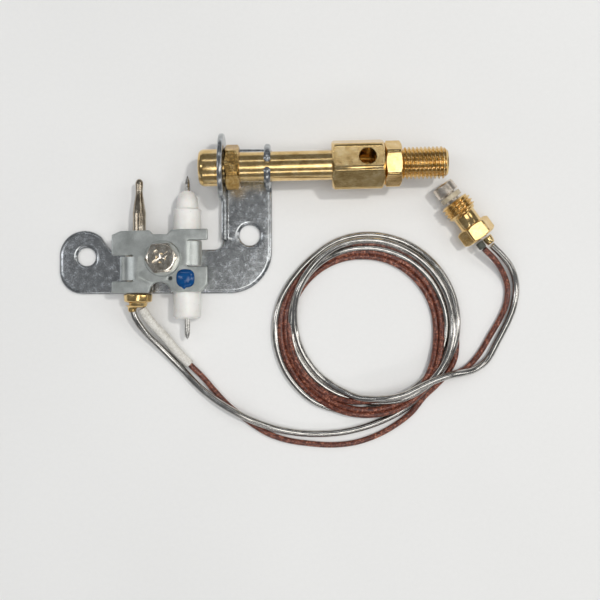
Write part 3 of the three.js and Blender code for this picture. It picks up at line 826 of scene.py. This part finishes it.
# ---- bracket ------------------------------------------------------------------------
def soften(piece, width):
    """Rounds the sharp edges of a piece."""
    modifier = piece.modifiers.new("soften", "BEVEL")
    modifier.width = width * MM
    modifier.segments = 2
    modifier.limit_method = "ANGLE"
    modifier.angle_limit = math.radians(40)
    bake(piece)
    smooth(piece.data, 60)


def slab(name, outline, low, high, matrix):
    """A plain slab from a closed outline in X and Y."""
    return plate(name, [outline], low, high, (0.02, 0.02), (0.02, 0.02), matrix)


def bracket_outline():
    line = [(-56.1, 1.5), (-18.2, 1.7)]
    line += arc(-18.2, 12.7, 11, -90, 0, 24)[1:]
    line += arc(-8.55, 37.7, 1.3, 0, 90, 6)
    line += [(-19.2, 39.0), (-19.2, 16.6), (-19.5, 16.1), (-20.1, 15.8)]
    line += arc(-22.1, 15.1, 2, 0, -90, 10)
    line += [(-47.6, 12.5), (-48.6, 12.75), (-49.5, 13.6), (-50.4, 14.95)]
    line += arc(-55.6, 11.4, 6.5, 48, 180, 28)
    line += arc(-56.2, 7.4, 5.9, 180, 270, 18)
    return spaced(line[:-1], 1.2)


def burner_y(x):
    return BURNER_Y + x * math.tan(math.radians(BURNER_TILT))


STANDING = Matrix(((0, 0, 1, 0), (1, 0, 0, 0), (0, 1, 0, 0), (0, 0, 0, 1)))
SIDEWAYS = Matrix(((1, 0, 0, 0), (0, 0, 1, 0), (0, 1, 0, 0), (0, 0, 0, 1)))


def build_lug():
    """Upright disc round the burner tube, on a flange along the bracket's left edge."""
    place = to_frame(LUG_X, burner_y(LUG_AXIS_X), BURNER_Z, STANDING)
    rings = [ring_points(0, 0, LUG_RADIUS, 96), ring_points(0, 0, TUBE_HOLE, 64)]
    lug = plate("lug", rings, -LUG_HALF, LUG_HALF, (0.35, 0.35), (0.35, 0.35), place)
    bend = arc(-18.85, 1.25, 1.25, 180, 270, 8)
    for name, low, high, top in (("web", 26.0, 38.6, 5.0), ("flange", 15.5, 27.0, 3.2)):
        profile = [(-20.1, top), *bend, (-17.2, 0), (-17.2, 1.25), (-18.3, 1.28), (-18.75, 1.5),
                   (-18.85, 2.0), (-18.85, top)]
        part = slab(name, profile, low, high, IN_PLAN @ SIDEWAYS)
        soften(part, 0.3)
        combine(lug, part, "UNION", 45)
    return lug


def build_fork():
    """Cradle under the tube, its two arms narrowing to claws that almost meet on top."""
    first, last, steps = 99, 441, 84
    verts, faces = [], []
    for i in range(steps + 1):
        angle = first + (last - first) * i / steps
        from_tip = min(angle - first, last - angle)
        grown = min(1, from_tip / 75) ** 0.8
        tip = min(1, from_tip / 7)
        thick = (0.75 + 1.05 * grown) * (0.4 + 0.6 * tip)
        half = (0.85 - 0.1 * grown) * (0.45 + 0.55 * tip)
        middle = TUBE_HOLE + thick / 2
        for corner in range(8):
            turn = TURN * (corner + 0.5) / 8
            across = half * np.clip(1.35 * math.cos(turn), -1, 1)
            radius = middle + thick / 2 * np.clip(1.35 * math.sin(turn), -1, 1)
            a = math.radians(angle)
            verts.append((across, radius * math.cos(a), radius * math.sin(a)))
    for i in range(steps):
        for j in range(8):
            k = (j + 1) % 8
            faces.append((i * 8 + j, i * 8 + k, i * 8 + 8 + k, i * 8 + 8 + j))
    faces.append(tuple(range(8)))
    faces.append(tuple(range(steps * 8, steps * 8 + 8)))
    fork = add_object("fork", verts, faces, to_frame(FORK_X, burner_y(FORK_X), BURNER_Z), 50)
    web = [(-5.8, -8.75), (5.4, -8.75), (4.7, -4.2), (4.0, -3.9), (-4.0, -3.9), (-4.7, -4.2)]
    foot = slab("foot", web, -FOOT_HALF, FOOT_HALF,
                to_frame(FOOT_X, burner_y(FOOT_AXIS_X), BURNER_Z, STANDING))
    soften(foot, 0.25)
    combine(fork, foot, "UNION", 50)
    return fork


def build_bracket():
    holes = [ring_points(*EAR_HOLE), ring_points(*CORNER_HOLE)]
    bracket = plate("mounting_bracket_plate", [bracket_outline(), *holes], 0, SHEET,
                    (1.1, 0.7), (0.2, 0.2), IN_PLAN)
    combine(bracket, build_lug(), "UNION", 40)
    combine(bracket, build_fork(), "UNION", 40)
    collar = [(1.0, TAPPED_RADIUS), (1.0, 2.9), (2.0, 2.9), (2.2, 2.7), (2.2, TAPPED_RADIUS)]
    combine(bracket, revolve("collar", collar, ON_SCREW, 32, closed=True), "UNION", 40)
    bore = [(-1, 0), (-1, TAPPED_RADIUS), (5, TAPPED_RADIUS), (5, 0)]
    combine(bracket, revolve("bore", bore, ON_SCREW, 32), "DIFFERENCE", 40)
    even_shading(bracket)
    return bracket


# ---- clamp --------------------------------------------------------------------------
def clamp_outline():
    start = [(-46.9, 16.2), (-46.9, 11.1), (-41.6, 11.1), (-41.6, 4.6), (-46.9, 4.6),
             (-46.9, 1.75), (-37.7, 1.75), (-37.1, 3.3)]
    arch = [(-36.6, 3.95), (-35.8, 4.4), (-34.8, 4.5), (-33.8, 4.3), (-33.0, 3.7), (-32.5, 2.9)]
    rest = [(-32.2, 2.1), (-24.8, 2.1), (-23.1, 3.9), (-23.1, 8.4), (-28, 8.4), (-28, 15),
            (-23, 15), (-23, 17.8), (-32, 17.6), (-33.2, 16.4), (-36.6, 16.4), (-37.6, 17.4),
            (-44.7, 17.2)]
    return spaced(rounded(start + arch + rest, 0.45, closed=True), 1.5)


def build_tab(name, axis_x, side, sweep, low, high):
    """Tab rolled down round a clamped part, towards side -1 or +1."""
    outer = SADDLE_RADIUS + CLAMP_TOP - CLAMP_LOW
    turns = [math.radians(90 - side * sweep * i / 20) for i in range(21)]
    outline = [(axis_x - side * 0.8, CLAMP_AXIS_Z + outer - 0.02)]
    outline += [(axis_x + (outer - 0.02) * math.cos(a), CLAMP_AXIS_Z + (outer - 0.02) * math.sin(a))
                for a in turns]
    outline += [(axis_x + SADDLE_RADIUS * math.cos(a), CLAMP_AXIS_Z + SADDLE_RADIUS * math.sin(a))
                for a in turns[::-1]]
    outline.append((axis_x - side * 0.8, CLAMP_AXIS_Z + SADDLE_RADIUS))
    tab = slab(name, outline, low, high, IN_PLAN @ SIDEWAYS)
    soften(tab, 0.14)
    return tab


def build_clamp():
    notch = rounded([(-32.7, 5.0), (-31.9, 5.1), (-31.9, 5.8), (-32.7, 5.9)], 0.3, closed=True)
    holes = [ring_points(*SCREW_AT, 2.3, 32), notch]
    clamp = plate("clamp_cover", [clamp_outline(), *holes], CLAMP_LOW, CLAMP_TOP, (0.3, 0.3),
                  (0.15, 0.15), IN_PLAN)
    combine(clamp, build_tab("tab_one", THERMO_X, -1, 84, 4.9, 10.8), "UNION", 40)
    combine(clamp, build_tab("tab_two", ELECTRODE_X, 1, 58, 8.7, 14.7), "UNION", 40)
    even_shading(clamp)
    return clamp


def build_screw():
    """Hexagon-headed screw with a cross recess in a slightly domed top."""
    sides = hex_stations(10.4, 12.9, 7.1, 0.35, worn=0.25, edge=0.1)[:-1]
    top = [(12.93, 3.1), (12.94, 2.6), (12.88, 1.2), (12.86, 0)]
    shank = [(0.3, 0), (0.3, 1.5), (0.8, 1.95), (10.4, 1.95)]
    screw = revolve("clamp_screw_head", shank + sides + top, ON_SCREW, 144, turn=35, crease=35)
    for turn in (35, 125):
        arm = slab("recess", rounded([(-2.3, -0.5), (2.3, -0.5), (2.3, 0.5), (-2.3, 0.5)],
                                     0.3, closed=True), 11.2, 13.5,
                   to_frame(*SCREW_AT, 0, about_z(turn)))
        combine(screw, arm, "DIFFERENCE", 35)
    pit = [(10.9, 0), (11.3, 0.7), (13.5, 1.5), (13.5, 0)]
    combine(screw, revolve("pit", pit, ON_SCREW, 32), "DIFFERENCE", 35)
    return screw


def build_dot():
    """Drop of paint that has run a little towards the lower edge."""
    verts, faces, sides, rings = [], [], 48, 9
    for ring in range(rings + 1):
        out = math.sin(math.pi / 2 * ring / rings)
        height = 1.0 * math.cos(math.pi / 2 * ring / rings)
        for i in range(sides):
            turn = TURN * i / sides
            drip = math.exp(-((math.sin((turn - math.radians(262)) / 2) / 0.07) ** 2))
            square = 0.1 * math.cos(4 * turn)
            radius = (2.4 + 0.5 * drip - square) * out
            verts.append((radius * math.cos(turn), radius * math.sin(turn), height))
    for ring in range(rings):
        for i in range(sides):
            j = (i + 1) % sides
            faces.append((ring * sides + i, ring * sides + j, (ring + 1) * sides + j,
                          (ring + 1) * sides + i))
    faces.append(tuple(range(rings * sides, (rings + 1) * sides)))
    return add_object("paint_drop", verts, faces, to_frame(*DOT_AT, CLAMP_TOP), 80)


def build_clamped_pieces():
    dress(build_bracket(), ZINC, "pilot_frame", "bracket_zinc", "mounting_bracket")
    dress(build_clamp(), CLAMP_ZINC, "clamp", "clamp_zinc", "clamp_plate")
    dress(build_dot(), BLUE, "clamp", "blue_paint", "identification_dot")
    dress(build_screw(), SCREW_STEEL, "clamp_fastener", "screw_steel", "clamp_screw")
    washer = [(9.6, 2.2), (9.62, 4.3), (9.8, 4.5), (10.2, 4.5), (10.38, 4.3), (10.4, 2.2)]
    dress(revolve("washer_ring", washer, ON_SCREW, 64, closed=True), CLAMP_ZINC,
          "clamp_fastener", "clamp_zinc", "clamp_washer")


# ---- thermocouple and electrode -----------------------------------------------------
def build_thermocouple():
    outside = [(1.6, 1.65), (21.9, 1.65), (22.6, 1.6), (24.4, 1.32), (26.0, 1.03), (26.7, 0.93),
               (27.6, 0.89), (28.6, 0.93), (29.3, 0.98), (29.9, 0.93), (30.35, 0.72),
               (30.65, 0.38), (30.75, 0)]
    inside = [(28.6, 0), (28.6, 0.55), (22, 0.95), (1.6, 0.95)]
    profile = inside + rounded(outside, 0.6)
    dress(revolve("sheath_tube", profile, ON_THERMO, 64, crease=50), NICKEL, "pilot_frame",
          "nickel_alloy", "thermocouple_sheath")
    barrel = rounded([(1.6, 1.8), (1.6, 3.45), (16.2, 3.45), (16.2, 1.8)], 0.35, closed=True)
    dress(revolve("barrel_sleeve", barrel, ON_THERMO, 64, closed=True, crease=50), NICKEL,
          "pilot_frame", "nickel_alloy", "thermocouple_barrel")
    shaped = [(-1.9, 0), (-1.9, 1.7), (-1.5, 2.2), (-0.7, 2.4), (-0.5, 3.2), (-0.3, 3.5),
              (1.3, 3.6), (1.5, 3.4), (1.5, 0)]
    collar = revolve("ferrule_collar", rounded(shaped, 0.3),
                     to_frame(THERMO_X - 0.3, 0, CLAMP_AXIS_Z, ALONG_Y), 64, crease=50)
    dress(collar, BRASS, "pilot_frame", "brass", "thermocouple_ferrule")
    dress(build_braze(), BRASS, "pilot_frame", "brass")


def build_braze():
    """Lump of braze where the bare lead leaves the ferrule."""
    profile = [(-3.1, 0), (-3.1, 0.86), (-2.5, 1.0), (-1.9, 1.25), (-1.5, 1.75), (-1.35, 1.9),
               (-1.3, 0)]
    lump = revolve("braze_lump", rounded(profile, 0.3),
                   to_frame(-42.55, 0, CLAMP_AXIS_Z, about_z(91)), 40, crease=80)
    for vertex in lump.data.vertices:
        spot = vertex.co / MM
        vertex.co += 0.12 * MM * Vector((math.sin(3.1 * spot.y + spot.z), 0,
                                         math.sin(2.7 * spot.x - 1.9 * spot.y)))
    return lump


def build_electrode():
    steps = [(-4.7, 0.85), (-4.7, 2.95), (-4.15, 3.5), (22.75, 3.5), (23.0, 3.3), (23.15, 2.8),
             (24.5, 2.74), (25.4, 2.62), (26.4, 2.28), (27.15, 1.8), (27.6, 1.3), (27.6, 0.85)]
    insulator = revolve("insulator_body", rounded(steps, 0.35, closed=True), ON_ELECTRODE, 80,
                        closed=True, crease=60)
    dress(insulator, CERAMIC, "pilot_frame", "ceramic", "electrode_insulator")
    def ground(relative):
        return 0.7 - 0.12 * np.cos(2 * relative) ** 8
    tip = [(-10, 0), (-9.8, 0.16), (-9.3, 0.5), (-8.6, 0.66), (-7.9, ground), (-4.9, ground),
           (-4.5, 0.7), (29.0, 0.7), (29.8, 0.66), (30.6, 0.42), (31.4, 0.13), (31.6, 0)]
    rod = revolve("spark_rod", tip, ON_ELECTRODE, 32, crease=60)
    dress(rod, ROD_STEEL, "pilot_frame", "electrode_steel", "electrode_rod")


# ---- burner -------------------------------------------------------------------------
def build_burner():
    tube_wall = [(-22.1, TUBE_RADIUS), (12, TUBE_RADIUS), (12, TUBE_BORE), (-22.1, TUBE_BORE)]
    dress(revolve("pilot_tube", tube_wall, ON_BURNER, 96, closed=True), BRASS, "pilot_frame",
          "brass", "burner_tube")
    head = [(-25.2, 3.0), (-25.2, 3.6), (-24.95, 4.12), (-24.5, 4.46), (-24.0, 4.6),
            (-20.4, 4.6), (-20.25, 4.45), (-20.25, TUBE_HOLE), (-22.2, TUBE_HOLE), (-22.2, 3.0)]
    dress(revolve("pilot_head", rounded(head, 0.15, closed=True), ON_BURNER, 96, closed=True,
                  crease=50), BRASS, "pilot_frame", "brass", "burner_head")
    port = [(-24.6, 1.3), (-24.6, 2.9), (-23.6, 2.9), (-23.6, 1.1), (-24.3, 1.1)]
    dress(revolve("port_disc", port, ON_BURNER, 48, closed=True), BRASS, "pilot_frame", "brass",
          "flame_port_insert")
    nut = hex_stations(-18.6, -15, HEX_FLATS, 0.5) + [(-15, TUBE_HOLE), (-18.6, TUBE_HOLE)]
    dress(revolve("tube_nut", nut, ON_BURNER, 240, turn=115, closed=True), WORN_BRASS,
          "pilot_frame", "brass", "burner_lock_nut")
    dress(build_mixer(), BRASS, "pilot_frame", "brass", "air_mixer_body")
    dress(build_union(), BRASS, "pilot_frame", "brass", "gas_inlet_union")


def build_mixer():
    body = hex_stations(7.9, 20.9, MIXER_FLATS, 0.7, worn=1.3)
    body += [(20.9, 2.5), (12.2, 2.5), (12.2, TUBE_HOLE), (7.9, TUBE_HOLE)]
    mixer = revolve("mixer_body", body, ON_BURNER, 240, turn=107, closed=True)
    hole = [(0, 0), (0, 2.1), (5.55, 2.1), (5.9, 2.4), (9, 2.4), (9, 0)]
    toward = Matrix.Translation(Vector((16.6, 0, 0)))
    toward = toward @ Matrix.Rotation(math.radians(-13), 4, "X") @ ALONG_Z
    drill = revolve("drill", hole, ON_BURNER @ toward, 64)
    combine(mixer, drill, "DIFFERENCE", 32)
    return mixer


def build_union():
    body = hex_stations(21, 25.2, HEX_FLATS, 0.5) + [(25.2, 3.35)]
    body += thread_stations(25.3, 36.5, 4, 3.4, 1.0)
    body += [(36.6, 3.2), (36.7, 3.1), (36.7, 2.5), (21, 2.5)]
    return revolve("inlet_union", body, ON_BURNER, 192, turn=124, closed=True, crease=40)


# ---- connector ----------------------------------------------------------------------
def build_connector():
    nut = [(5.2, 2.2)] + thread_stations(5.2, 9.2, 4, 3.4, 1.0)
    nut += [(9.4, 2.95), (9.6, 2.9), (12.4, 2.9), (12.6, 3.0)]
    nut += hex_stations(12.6, 16.7, 8, 0.55, worn=0.5)[1:] + [(16.7, 2.2)]
    dress(revolve("gland_body", nut, ON_FITTING, 192, turn=123, closed=True, crease=40), BRASS,
          "gland", "brass", "gland_nut")
    cup = [(1.6, 0), (1.6, 1.95), (0.1, 2.0), (0, 2.1), (0, 2.5), (0.3, 2.8), (0.6, 2.85),
           (2.7, 2.85), (2.9, 2.7), (2.9, 1.75), (17.0, 1.75), (17.1, 1.65), (17.1, 0)]
    dress(revolve("cup", cup, ON_FITTING, 64), TINNED, "pilot_frame", "tinned_copper",
          "terminal_cup")
    ring = [(3.2, 2.1), (3.2, 2.65), (3.35, 2.75), (4.4, 2.75), (4.5, 2.65), (4.5, 2.1)]
    dress(revolve("insulating_ring", ring, ON_FITTING, 64, closed=True), PHENOLIC,
          "pilot_frame", "phenolic", "terminal_insulator")
    button = [(1.4, 0), (1.4, 1.6), (0.6, 1.6), (0.35, 1.45), (0.15, 0.9), (0.1, 0)]
    dress(revolve("contact_button", button, ON_FITTING, 48), TINNED, "pilot_frame",
          "tinned_copper", "terminal_contact")
    cone = [(17.4, 0), (17.4, 1.2), (17.7, 1.25), (18.6, 1.2), (19.3, 1.0), (19.4, 0.9), (19.4, 0)]
    aside = Matrix.Translation(Vector((0, LEAD_SPREAD + 0.2, 0)))
    ferrule = revolve("lead_cone", cone, ON_FITTING @ aside, 32)
    dress(ferrule, BRASS, "pilot_frame", "brass", "lead_end_ferrule")
    stub = [(17.4, 0), (17.4, 1.0), (18.9, 1.0), (19.2, 0.85), (19.2, 0)]
    aside = Matrix.Translation(Vector((0, -LEAD_SPREAD, 0)))
    grommet = revolve("rubber_stub", rounded(stub, 0.1), ON_FITTING @ aside, 32)
    dress(grommet, RUBBER, "pilot_frame", "rubber", "lead_end_grommet")
    return ferrule, grommet


# ---- leads in place -----------------------------------------------------------------
def build_leads():
    bare = spline(BARE_TAIL + winding(BARE_WINDING, 0) + BARE_END)
    brown = spline(INSULATED_TAIL + winding(INSULATED_WINDING, 50) + INSULATED_END)
    sleeve = spline(INSULATED_TAIL[:SLEEVE_POINTS], 0.5)
    wire = dress(tube("bare_lead", bare, BARE_RADIUS), WIRE, "pilot_frame", "tinned_copper",
                 "lead_bare_tail", "lead_bare_end", "lead_coil")
    cable = dress(tube("insulated_lead", brown, INSULATED_RADIUS), BROWN, "pilot_frame",
                  "brown_lacquer", "lead_insulated_tail", "lead_insulated_end")
    cover = dress(tube("fibre_sleeve", sleeve, SLEEVE_RADIUS, 24, bore=SLEEVE_BORE), WHITE_BRAID,
                  "pilot_frame", "glass_fibre", "insulation_sleeve")
    return bare, brown, wire, cable, cover


bare_line, brown_line, wire, cable, cover = build_leads()
cone, stub = build_connector()
build_clamped_pieces()
build_thermocouple()
build_electrode()
build_burner()

carried = {"thermocouple_core_wire": ROD_STEEL, "thermocouple_insulation": WHITE_BRAID,
           "gas_injector": BRASS}
for name, material in carried.items():
    own = bpy.data.objects[name]
    own.data.materials.clear()
    own.data.materials.append(material)
